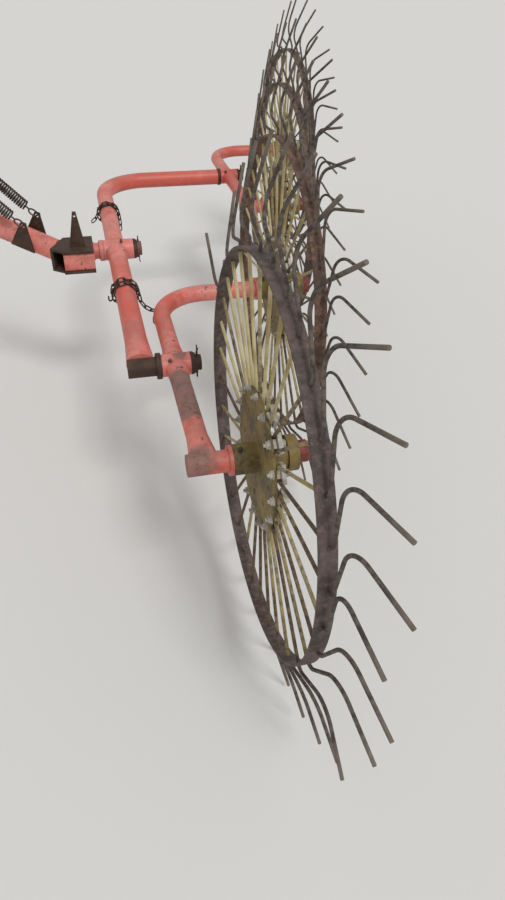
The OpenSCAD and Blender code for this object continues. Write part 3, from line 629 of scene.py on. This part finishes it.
def clampBolts(finish):
    form = Shape("clampBoltTree", boltSize)
    points = form.put("GeometryNodeMeshCircle", {}, {
        "Vertices": form.size("Count"), "Radius": form.size("Circle")})
    washer = form.cylinder(form.size("Washer"), form.size("Washer Height"), 20)
    hexagon = form.cylinder(form.size("Head"), form.size("Head Height"), 6)
    stud = form.cylinder(form.size("Stud"), form.size("Stud Length"), 14)
    halfWasher = form.size("Washer Height") * 0.5
    seat = form.size("Washer Height") + form.size("Head Height") * 0.5
    headAt, nutAt = form.size("Front") + seat, form.size("Back") - seat
    bolt = form.joined(
        form.moved(washer, form.vector(z=form.size("Front") + halfWasher)),
        form.moved(hexagon, form.vector(z=headAt)),
        form.moved(washer, form.vector(z=form.size("Back") - halfWasher)),
        form.moved(hexagon, form.vector(z=nutAt)),
        form.moved(stud, form.vector(z=nutAt - form.size("Stud Past"))))
    spin = form.put("FunctionNodeRandomValue", {"data_type": "FLOAT_VECTOR"}, {
        0: (0, 0, 0), 1: (0, 0, 6.28), "Seed": 7}, 0)
    return form.grow(form.put("GeometryNodeInstanceOnPoints", {}, {
        "Points": points, "Instance": bolt, "Rotation": spin}), finish)


boltMesh = crisp(clampBolts(finishes["zinc"]), 30)
boltTurn = turned(180 + spokes["first"] + spokes["step"])
for i, hub in enumerate(hubs):
    mesh = boltMesh.copy()
    mesh.transform(Matrix.Translation(hub) @ boltTurn @ alongAxle)
    addPiece("wheel%dClampBolts" % (i + 1), mesh, finishes["zinc"], "wheel%d" % (i + 1))
print("clamps bolted")

# Chains wound round the beam, as sizes in metres and places from the main pivot.
# Hanging links: tilt from straight down, heading in plan, roll
chainSize = {
    "arm": 0.030, "wire": 0.002, "width": 0.007, "play": 0.0015, "slack": 0.0007, "fit": 0.0005,
    "linksInTurn": 12, "wound": 18, "hookWire": 0.0023, "shank": 0.010, "hook": 0.009,
}
chainPlaces = {
    "front": {"from": -0.318, "gap": 0.027, "tailFrom": 3, "tail": ((0, -21, 0), (0, -21, 90)),
              "right": ((10, -21, 24), (36, -21, 114), (62, -21, 24), (86, -21, 114), (106, -21, 24))},
    "rear": {"from": 0.365, "gap": 0.015, "left": ((28, 180, 45), (48, 180, 135)),
             "right": ((6, 0, 45), (0, 0, 135), (0, 0, 45))},
}
turnAngle = math.tau / chainSize["linksInTurn"]
linkBend = chainSize["width"] / 2 + chainSize["wire"]
chainRadius = chainSize["arm"] + linkBend * math.sqrt(0.5) + chainSize["wire"] + chainSize["fit"]
chainPitch = 2 * chainRadius * math.tan(turnAngle / 2)
chainOut = chainRadius / math.cos(turnAngle / 2)


def linkFrame(row):
    tilt, heading, roll = row
    return turned(roll, 90 - tilt, heading)


def woundLinks(place, gap):
    # round the arm from its left side over the top, each link rolled a quarter turn from the last
    step = gap / chainSize["linksInTurn"]
    slope = math.degrees(math.atan2(step, chainPitch))
    links = []
    for i in range(chainSize["wound"]):
        turn = Matrix.Rotation(math.radians(270) + (i + 0.5) * turnAngle, 4, "Y")
        spot = Matrix.Translation((0, place - (i + 0.5) * step, chainRadius))
        links.append(turn @ spot @ turned(45 + 90 * i, 0, -slope))
    return links


def hungLinks(start, rows):
    links, joint = [], Vector(start)
    for row in rows:
        way = linkFrame(row).col[0].xyz
        joint = joint + way * chainSize["slack"]
        links.append(Matrix.Translation(joint + way * chainPitch / 2) @ linkFrame(row))
        joint = joint + way * chainPitch
    return links


def chainMesh(name, frames, finish):
    base = bpy.data.meshes.new(name + "Points")
    base.from_pydata([place.translation for place in frames], [], [])
    turns = base.attributes.new("turn", "FLOAT_VECTOR", "POINT")
    for item, place in zip(turns.data, frames):
        item.vector = place.to_euler()
    length = chainPitch + chainSize["play"] + 2 * chainSize["wire"]
    form = Shape(name + "Tree", {"Length": length, "Width": 2 * linkBend, "Wire": chainSize["wire"]}, base)
    oval = form.put("GeometryNodeCurvePrimitiveQuadrilateral", {}, {
        "Width": form.size("Length"), "Height": form.size("Width")})
    # just under half the width, so that the ends are round
    oval = form.put("GeometryNodeFilletCurve", {"mode": "POLY"}, {
        "Curve": oval, "Radius": form.size("Width") * 0.499, "Count": 5})
    turn = form.put("GeometryNodeInputNamedAttribute", {"data_type": "FLOAT_VECTOR"}, {
        "Name": "turn"}, "Attribute")
    links = form.put("GeometryNodeInstanceOnPoints", {}, {
        "Points": form.size("Base"), "Instance": form.rod(oval, form.size("Wire"), 8), "Rotation": turn})
    return crisp(form.grow(links, finish), 50)


def wireMesh(name, runs, radius, finish):
    # round wire along runs of points; a run that ends where it starts is a ring
    points, edges = [], []
    for run in runs:
        closed = (Vector(run[0]) - Vector(run[-1])).length < 1e-7
        first, count = len(points), len(run) - closed
        points += list(run[:count])
        edges += [(first + i, first + (i + 1) % count) for i in range(count - 1 + closed)]
    base = bpy.data.meshes.new(name + "Points")
    base.from_pydata(points, edges, [])
    form = Shape(name + "Tree", {"Wire": radius}, base)
    path = form.put("GeometryNodeMeshToCurve", {}, {"Mesh": form.size("Base")})
    return crisp(form.grow(form.rod(path, form.size("Wire"), 8), finish), 50)


def hookRuns():
    # an eye round the last link, then the shank and its open bend
    eye = linkBend + chainSize["hookWire"] - chainSize["wire"]
    shift = eye - chainSize["hookWire"] - chainSize["play"] / 2
    ring = [(shift + x, y, 0) for x, y in arcPoints(eye, 0, math.tau, 20)]
    radius = chainSize["hook"]
    bendAt = shift + eye + chainSize["shank"]
    bend = [(bendAt + x, y - radius, 0) for x, y in arcPoints(radius, math.pi / 2, -math.pi / 2, 10)]
    return [ring, [(shift + eye, 0, 0)] + bend + [(bendAt - radius, -2 * radius, 0)]]


for end, place in chainPlaces.items():
    begin, gap = place["from"], place["gap"]
    hanging = hungLinks((chainOut, begin - 1.5 * gap, 0), place["right"])
    links = woundLinks(begin, gap) + hanging
    meshes = []
    if "left" in place:
        links += hungLinks((-chainOut, begin, 0), place["left"])
    else:
        # the tail hangs over the lower wire of one link, and a hook ends the left side
        carrier = hanging[place["tailFrom"]]
        over = (chainSize["wire"] * 2 - chainSize["play"]) / 2 + chainSize["fit"] + chainSize["slack"]
        tailStart = carrier.translation - carrier.col[1].xyz * linkBend + Vector((0, 0, over))
        links += hungLinks(tailStart, place["tail"])
        hook = wireMesh("chainHook", hookRuns(), chainSize["hookWire"], finishes["chainRust"])
        hook.transform(Matrix.Translation((-chainOut, begin, 0)) @ turned(45, 90, 0))
        meshes.append(hook)
    meshes.append(chainMesh(end + "Chain", links, finishes["chainRust"]))
    mesh = joinMeshes(end + "ChainMesh", meshes)
    mesh.transform(Matrix.Translation(mainPivot))
    addPiece(end + "Chain", mesh, finishes["chainRust"], bodyOf["beam"])
print("chains wound")

# The knuckle's plates stand out over the boom's tube at the front; the corner is from the main pivot
knuckleSize = {
    "corner": (-0.1714, -0.082, 0.0), "length": 0.097, "height": 0.074, "plate": 0.008, "lip": 0.009,
    "back": 0.003, "bulge": 0.0065, "fit": 0.0002, "ease": 0.0012,
}


def prism(points, low, high):
    bm = bmesh.new()
    bottom = [bm.verts.new((x, y, low)) for x, y in points]
    top = [bm.verts.new((x, y, high)) for x, y in points]
    bm.faces.new(bottom[::-1])
    bm.faces.new(top)
    for i in range(len(points)):
        j = (i + 1) % len(points)
        bm.faces.new((bottom[i], bottom[j], top[j], top[i]))
    mesh = bpy.data.meshes.new("prism")
    bm.to_mesh(mesh)
    bm.free()
    return mesh


def knuckleFront():
    # the two plates' lips, and the bowed coral web between them
    corner = mainPivot + Vector(knuckleSize["corner"])
    half, plate, lip = knuckleSize["height"] / 2, knuckleSize["plate"], knuckleSize["lip"]
    length, fit = knuckleSize["length"], knuckleSize["fit"]
    band = [(-knuckleSize["back"], -lip), (length, -lip), (length, -fit), (0, -fit)]
    lips = [prism(band, half - plate, half), prism(band, -half, plate - half)]
    halfBow = arcPoints(1, -math.pi / 2, math.pi / 2, 16)
    bow = [(-knuckleSize["bulge"] * x - fit, (half - plate - fit) * y) for x, y in halfBow]
    web = prism(bow, 0.0, length)
    web.transform(alongAxle)
    for mesh in lips + [web]:
        mesh.transform(Matrix.Translation(corner))
    return crisp(joinMeshes("knuckleLipsMesh", lips), 30), crisp(web, 40)


lipsMesh, webMesh = knuckleFront()
lips = addPiece("knuckleLips", lipsMesh, finishes["darkRust"], bodyOf["knuckle"])
easeEdges(lips, knuckleSize["ease"], 30.0, False)
# the web takes the darker finish, which holds painted shade from the plates above it
addPiece("knuckleWeb", webMesh, finishes["coralWornShadedWeb"], bodyOf["knuckle"])

# Arms pressed wide where they are welded: joint, place and length along Y from it, widest and tube
flarePlaces = {
    "frontCrankFlare": ("front_rock", -0.400, 0.090, 0.066, 0.048),
    "rearCrankFlare": ("rear_rock", -0.400, 0.090, 0.066, 0.048),
    "beamEndFlare": ("beam_rock", -0.7535, 0.125, 0.073, 0.060),
    "beamFrontRoot": ("beam_rock", -0.0275, -0.062, 0.073, 0.060),
    "beamRearRoot": ("beam_rock", 0.0275, 0.062, 0.073, 0.060),
    "frontRockerRootA": ("front_rock", -0.0245, -0.052, 0.059, 0.048),
    "frontRockerRootB": ("front_rock", 0.0245, 0.052, 0.059, 0.048),
    "rearRockerRootA": ("rear_rock", -0.0245, -0.052, 0.059, 0.048),
    "rearRockerRootB": ("rear_rock", 0.0245, 0.052, 0.059, 0.048),
}
flareForm = {"rings": 12, "sides": 48, "over": 0.0003, "curve": 1.3}
armOf = {"beam_rock": "beam", "front_rock": "front_rocker", "rear_rock": "rear_rocker"}


def armFlare(joint, at, length, widest, tube):
    # an oval sleeve just over the tube, wide at its start and thinning to the tube
    bm = bmesh.new()
    sides = flareForm["sides"]
    circle = arcPoints(1, 0, math.tau, sides)[:-1]
    thin = tube / 2 + flareForm["over"]
    rings = []
    for i in range(flareForm["rings"] + 1):
        share = i / flareForm["rings"]
        wide = thin + (widest / 2 - thin) * (1 - share) ** flareForm["curve"]
        rings.append([bm.verts.new((wide * x, at + share * length, thin * z)) for x, z in circle])
    for low, high in zip(rings, rings[1:]):
        for i in range(sides):
            j = (i + 1) % sides
            bm.faces.new((low[i], low[j], high[j], high[i]))
    bm.faces.new(rings[0])
    bm.faces.new(rings[-1])
    mesh = bpy.data.meshes.new("flare")
    bm.to_mesh(mesh)
    bm.free()
    mesh.transform(Matrix.Translation(jointAt[joint]))
    return crisp(mesh, 40)


for name, place in flarePlaces.items():
    arm = armOf[place[0]]
    addPiece(name, armFlare(*place), finishFor(arm), bodyOf[arm])
print("arms flared")

# Split pins: an eye at one end, two legs spread at the other; place is along the pin from its joint
pinSize = {
    "wire": 0.0016, "leg": 0.016, "eye": 0.0052, "half": 0.031, "sunk": 0.004, "spread": 34.0, "uneven": 9.0,
    "knee": 0.45, "bow": 0.001,
}
pinPlaces = {
    "mainSplitPin": {"joint": "beam_rock", "along": 0.0744, "legs": -1, "node": "main_pivot_washers"},
    "frontSplitPin": {"joint": "front_rock", "along": 0.0539, "legs": 1, "node": "front_pivot_washers"},
    "rearSplitPin": {"joint": "rear_rock", "along": 0.0539, "legs": 1, "node": "rear_pivot_washers"},
}


def splitPin(name, where):
    wire, leg, half, radius = pinSize["wire"], pinSize["leg"], pinSize["half"], pinSize["eye"]
    up = where["legs"]
    runs = []
    for side in (-1, 1):
        spread = math.radians(pinSize["spread"] + pinSize["uneven"] * side)
        root, tip = side * wire, side * (wire + leg * math.sin(spread))
        runs.append([
            (0, root, up * (half - pinSize["sunk"])), (0, root, up * half),
            (pinSize["bow"], (root * 2 + tip) / 3, up * (half + leg * pinSize["knee"])),
            (pinSize["bow"] * 2, tip, up * (half + leg * math.cos(spread)))])
    runs.append([(0, y, z - up * (half + radius)) for z, y in arcPoints(radius, 0, math.tau, 16)])
    mesh = wireMesh(name, runs, wire, finishes["darkRust"])
    mesh.transform(Matrix.Translation(jointAt[where["joint"]] + Vector((where["along"], 0, 0))))
    return mesh


for name, where in pinPlaces.items():
    addPiece(name, splitPin(name, where), finishes["darkRust"], bodyOf[where["node"]])

# Weld beads round the stub, at the knuckle and at its collar, from the main pivot
beadSize = {"Radius": 0.0265, "Bead": 0.0032, "Ripple": 0.0011, "Step": 1.3}
beadPlaces = (-0.0744, -0.0544)


def weldBead(finish):
    form = Shape("weldBeadTree", beadSize)
    ring = form.ring(form.size("Radius"), 96)
    index = form.put("GeometryNodeInputIndex", {}, {})
    wave = index.math("SINE", index * form.size("Step"))
    spot = form.put("GeometryNodeInputPosition", {}, {})
    away = form.put("ShaderNodeVectorMath", {"operation": "NORMALIZE"}, {0: spot}, "Vector")
    ripple = form.put("ShaderNodeVectorMath", {"operation": "SCALE"}, {
        0: away, "Scale": wave * form.size("Ripple")}, "Vector")
    ring = form.put("GeometryNodeSetPosition", {}, {"Geometry": ring, "Offset": ripple})
    return crisp(form.grow(form.rod(ring, form.size("Bead"), 8), finish), 60)


beads = []
for along in beadPlaces:
    bead = weldBead(finishes["coral"])
    bead.transform(Matrix.Translation(mainPivot + Vector((along, 0, 0))) @ turned(0, 90, 0))
    beads.append(bead)
addPiece("weldBeads", joinMeshes("weldBeadsMesh", beads), finishes["coral"], bodyOf["main_pivot_stub"])
print("knuckle, pins and welds finished")

# Trim of the headstock: linch pins through the link pins, and a screw with a bar handle for each leg.
# Places are along and across the headstock and above the ground
trim = {
    "linchAlong": 0.095, "linchAcross": 0.3895, "linchHeight": 0.520, "ring": 0.0185, "ringWire": 0.0018,
    "shank": 0.0045, "shankPast": 0.002, "screwAlong": 0.170, "screwAcross": 0.240, "screwHeight": 0.548,
    "screw": 0.006, "screwLength": 0.030, "nut": 0.011, "nutSunk": 0.003, "nutProud": 0.009,
    "handle": 0.034, "handleWire": 0.0036, "handleIn": 0.004,
}


def onHeadstock(along, sideways, height):
    foot = jointAt["boom_lift"] + outward * along + across * sideways
    return Matrix.Translation((foot.x, foot.y, groundZ + height)) @ Matrix(
        (outward, across, Vector((0, 0, 1)))).transposed().to_4x4()


def turnedRod(start, end, radius, sides=16):
    # a solid rod between two points
    bm = bmesh.new()
    start, end = Vector(start), Vector(end)
    way = end - start
    bmesh.ops.create_cone(bm, cap_ends=True, segments=sides, radius1=radius, radius2=radius, depth=way.length)
    bm.transform(Matrix.Translation((start + end) / 2) @ way.to_track_quat("Z", "Y").to_matrix().to_4x4())
    mesh = bpy.data.meshes.new("rod")
    bm.to_mesh(mesh)
    bm.free()
    return mesh


def linchPin(side):
    ring = [(x, 0, z) for x, z in arcPoints(trim["ring"], 0, math.tau, 32)]
    reach = trim["ring"] + trim["shankPast"]
    pin = joinMeshes("linchPin", [
        wireMesh("linchRing", [ring], trim["ringWire"], finishes["zinc"]),
        turnedRod((-reach, 0, 0), (reach, 0, 0), trim["shank"])])
    pin.transform(onHeadstock(trim["linchAlong"], side * trim["linchAcross"], trim["linchHeight"]))
    return pin


def legScrew(side):
    face, end = trim["screwAlong"], trim["screwAlong"] + trim["screwLength"]
    grip = end - trim["handleIn"]
    screw = joinMeshes("legScrew", [
        turnedRod((face - trim["nutSunk"], 0, 0), (face + trim["nutProud"], 0, 0), trim["nut"], 6),
        turnedRod((face, 0, 0), (end, 0, 0), trim["screw"]),
        turnedRod((grip, -trim["handle"], 0), (grip, trim["handle"], 0), trim["handleWire"], 12)])
    screw.transform(onHeadstock(0, side * trim["screwAcross"], trim["screwHeight"]))
    return screw


linches = crisp(joinMeshes("linchPinsMesh", [linchPin(side) for side in (-1, 1)]))
addPiece("linchPins", linches, finishes["zinc"], "headstock")
screws = crisp(joinMeshes("legScrewsMesh", [legScrew(side) for side in (-1, 1)]))
addPiece("legScrews", screws, finishes["bareSteel"], "headstock")

# Grease nipples: hexagon foot, neck and ball; heights are above the tube that they stand on
nippleSize = {
    "foot": 0.0055, "footLength": 0.005, "footAt": 0.0018, "neckLow": 0.0036, "neckHigh": 0.0024,
    "neckLength": 0.006, "neckAt": 0.007, "ball": 0.0036, "ballAt": 0.0115,
}
# By node: joint, place along its axis, radius of the tube, and lean in degrees
nipplePlaces = {
    "beam": ("beam_rock", 0.018, 0.033, 25.0),
    "front_rocker": ("front_rock", -0.016, 0.029, 40.0),
    "rear_rocker": ("rear_rock", -0.016, 0.029, 40.0),
}
for number in (1, 2, 3, 4):
    nipplePlaces["wheel%d_hub" % number] = ("wheel%d_turn" % number, -0.046, 0.033, 20.0)


def nippleMesh(name, radius):
    size = nippleSize
    bm = bmesh.new()
    for sides, low, high, length, height in (
            (6, size["foot"], size["foot"], size["footLength"], size["footAt"]),
            (14, size["neckLow"], size["neckHigh"], size["neckLength"], size["neckAt"])):
        bmesh.ops.create_cone(bm, cap_ends=True, segments=sides, radius1=low, radius2=high, depth=length,
                              matrix=Matrix.Translation((0, 0, radius + height)))
    bmesh.ops.create_uvsphere(bm, u_segments=14, v_segments=8, radius=size["ball"],
                              matrix=Matrix.Translation((0, 0, radius + size["ballAt"])))
    mesh = bpy.data.meshes.new(name + "NippleMesh")
    bm.to_mesh(mesh)
    bm.free()
    return mesh


for node, (joint, along, radius, lean) in nipplePlaces.items():
    mesh = nippleMesh(node, radius)
    mesh.transform(Matrix.Translation(jointAt[joint] + Vector((along, 0, 0))) @ turned(lean, 0, 0))
    addPiece(node + "Nipple", crisp(mesh, 40), finishes["bareSteel"], bodyOf[node])
print("small trim on")

# Floor, light and camera
studio = {
    "floor": "#d9d8d5", "floorRoughness": 0.85, "floorFrom": (-14, -14), "floorTo": (16, 18),
    "world": "#ffffff", "worldStrength": 0.62, "sun": 1.35, "sunAngle": 14.0, "sunFrom": (38.0, -8.0, 25.0),
}
(left, near), (right, far) = studio["floorFrom"], studio["floorTo"]
floorMesh = bpy.data.meshes.new("floorMesh")
floorMesh.from_pydata([(x, y, groundZ) for x, y in ((left, near), (right, near), (right, far), (left, far))],
                      [], [(0, 1, 2, 3)])
floor = bpy.data.objects.new("floor", floorMesh)
bpy.context.scene.collection.objects.link(floor)
floorFinish = Finish("paleFloor")
floorMesh.materials.append(floorFinish.close(linear(studio["floor"]), studio["floorRoughness"]))

world = bpy.data.worlds.new("softRoom")
bpy.context.scene.world = world
world.use_nodes = True
world.node_tree.nodes["Background"].inputs["Color"].default_value = linear(studio["world"])
world.node_tree.nodes["Background"].inputs["Strength"].default_value = studio["worldStrength"]

sunData = bpy.data.lights.new("window", "SUN")
sunData.energy, sunData.angle = studio["sun"], math.radians(studio["sunAngle"])
sun = bpy.data.objects.new("window", sunData)
sun.rotation_euler = [math.radians(angle) for angle in studio["sunFrom"]]
bpy.context.scene.collection.objects.link(sun)

# The photograph's camera: place from the first wheel's hub, then pitch, roll and yaw in degrees
shot = {
    "fromHub": (-0.296, -1.050, 0.883), "pitch": 38.470, "roll": 1.864, "yaw": 14.871,
    "lens": 26.75, "sensor": 36.0, "clip": (0.02, 60.0),
}
pitch, roll, yaw = (math.radians(shot[key]) for key in ("pitch", "roll", "yaw"))
ahead = Vector((math.sin(yaw) * math.cos(pitch), math.cos(yaw) * math.cos(pitch), -math.sin(pitch)))
level = Vector((math.cos(yaw), -math.sin(yaw), 0))
upright = level.cross(ahead)
rightward = math.cos(roll) * level + math.sin(roll) * upright
above = -math.sin(roll) * level + math.cos(roll) * upright
cameraData = bpy.data.cameras.new("camera")
cameraData.lens, cameraData.sensor_width = shot["lens"], shot["sensor"]
cameraData.clip_start, cameraData.clip_end = shot["clip"]
camera = bpy.data.objects.new("camera", cameraData)
camera.matrix_world = Matrix.Translation(hubs[0] + Vector(shot["fromHub"])) @ Matrix(
    (rightward, above, -ahead)).transposed().to_4x4()
bpy.context.scene.collection.objects.link(camera)
bpy.context.scene.camera = camera
bpy.context.scene.view_settings.view_transform = "Standard"
print("studio and camera set")
